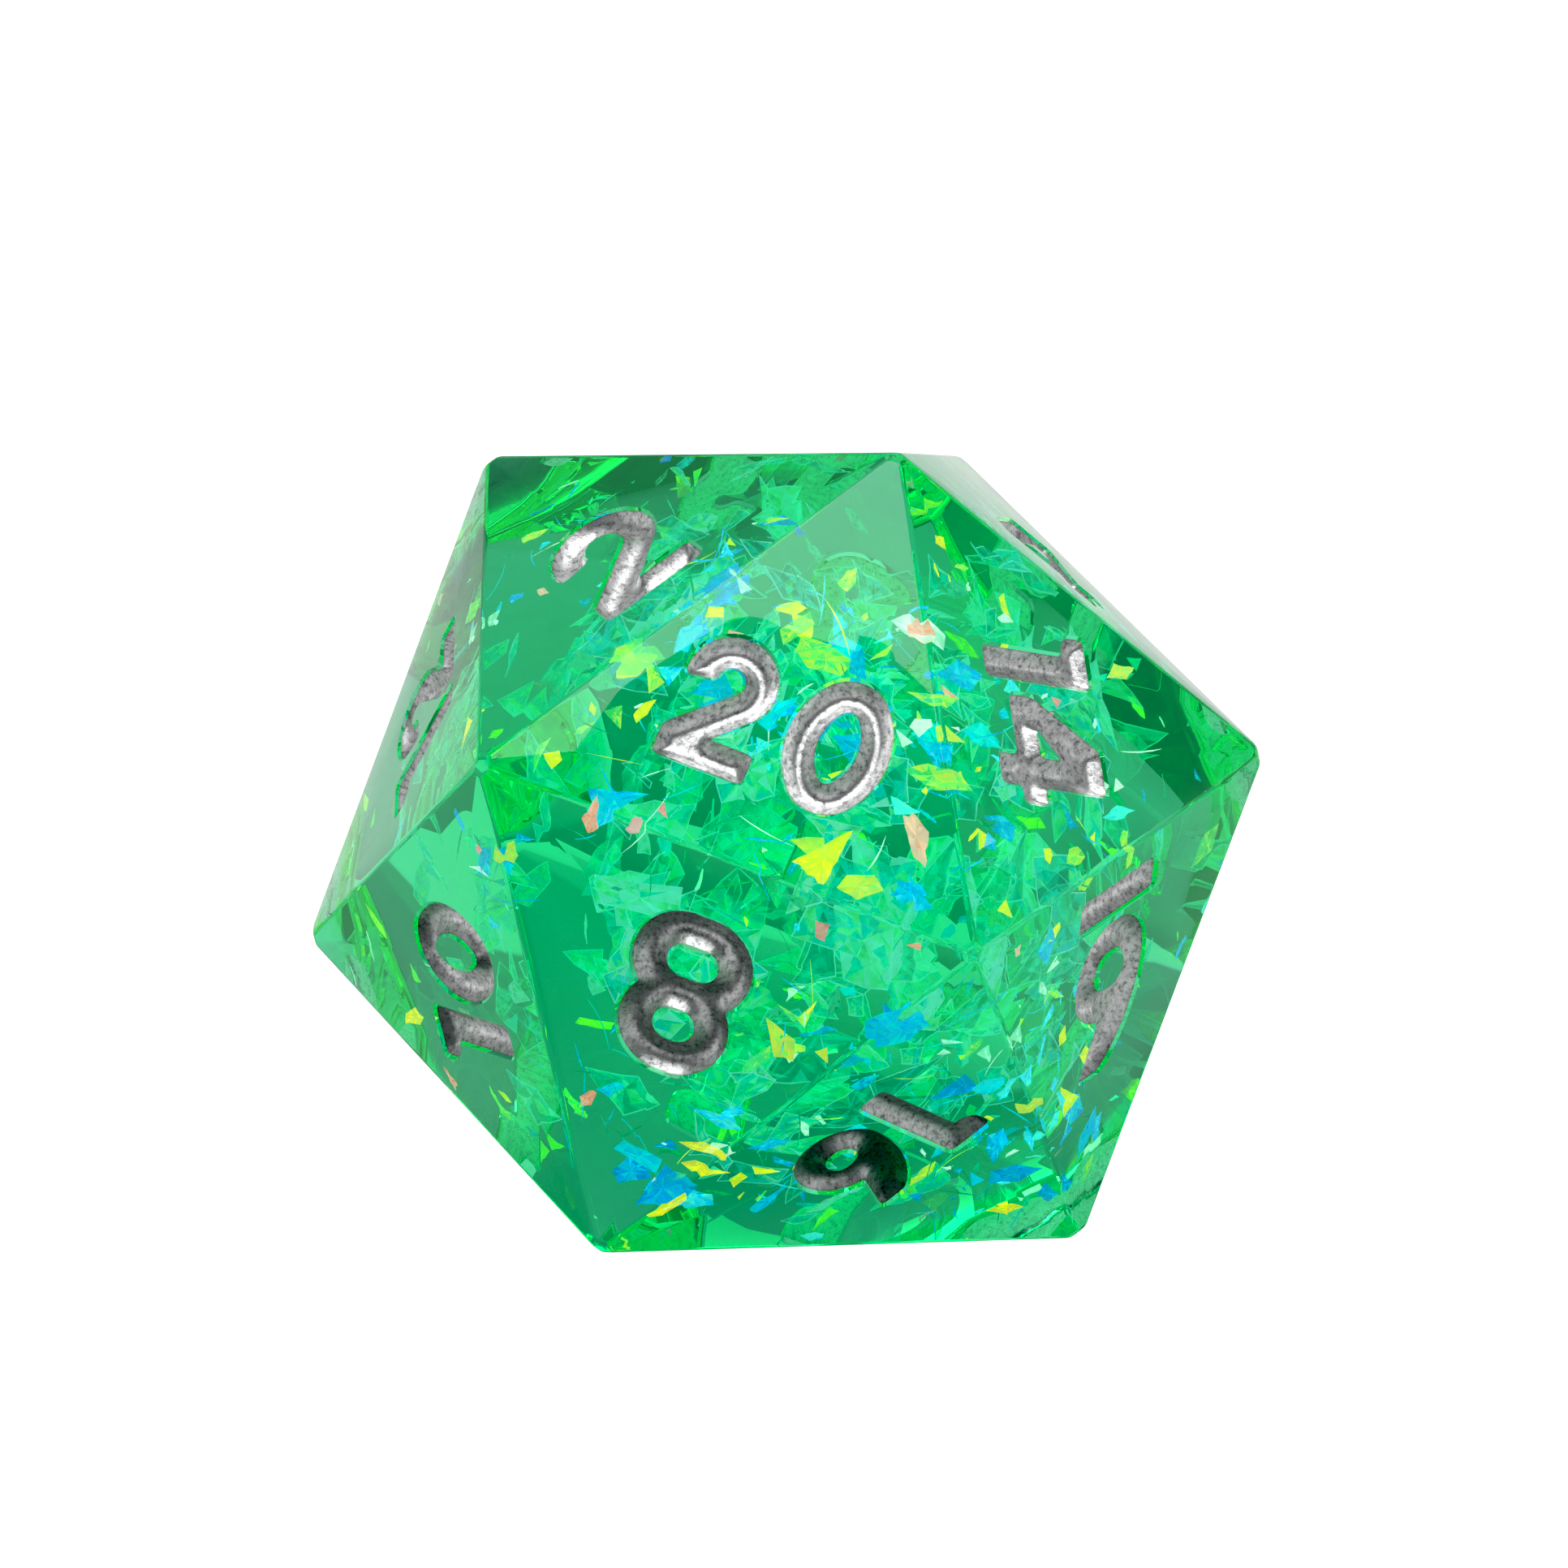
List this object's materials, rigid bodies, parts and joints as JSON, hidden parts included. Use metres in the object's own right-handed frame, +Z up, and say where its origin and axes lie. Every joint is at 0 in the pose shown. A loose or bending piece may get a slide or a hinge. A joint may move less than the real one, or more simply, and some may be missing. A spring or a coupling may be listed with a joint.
{
  "type": "twenty-sided die",
  "caption": "Twenty-sided game die of translucent green cast resin with engraved silver numbers and film flakes inside.",
  "frame": {"origin": "middle of face 3, the face the die rests on, with face 18 on top", "axes": "+Z up out of face 18; +X along the edge between faces 18 and 2; -Y on the side of face 2"},
  "size_m": [0.0214, 0.0244, 0.02],
  "materials": {
    "resin": "polished translucent emerald cast resin",
    "silver_paint": "grainy metallic silver paint, satin",
    "film_yellow": "iridescent film, glossy, yellow",
    "film_lime": "iridescent film, glossy, lime",
    "film_peach": "iridescent film, glossy, peach",
    "film_pink": "iridescent film, glossy, pink",
    "film_cyan": "iridescent film, glossy, cyan",
    "film_blue": "iridescent film, glossy, blue",
    "film_mint": "iridescent film, glossy, mint",
    "film_clear": "almost colourless iridescent film, crumpled"
  },
  "bodies": {
    "root": {"resin_body": "resin", "numeral_01": "silver_paint", "numeral_02": "silver_paint", "numeral_03": "silver_paint", "numeral_04": "silver_paint", "numeral_05": "silver_paint", "numeral_06": "silver_paint", "numeral_07": "silver_paint", "numeral_08": "silver_paint", "numeral_09": "silver_paint", "numeral_10": "silver_paint", "numeral_11": "silver_paint", "numeral_12": "silver_paint", "numeral_13": "silver_paint", "numeral_14": "silver_paint", "numeral_15": "silver_paint", "numeral_16": "silver_paint", "numeral_17": "silver_paint", "numeral_18": "silver_paint", "numeral_19": "silver_paint", "numeral_20": "silver_paint", "flakes_yellow": "film_yellow", "flakes_lime": "film_lime", "flakes_peach": "film_peach", "flakes_pink": "film_pink", "flakes_cyan": "film_cyan", "flakes_blue": "film_blue", "flakes_mint": "film_mint", "film_shards": "film_clear"}
  },
  "joints": []
}
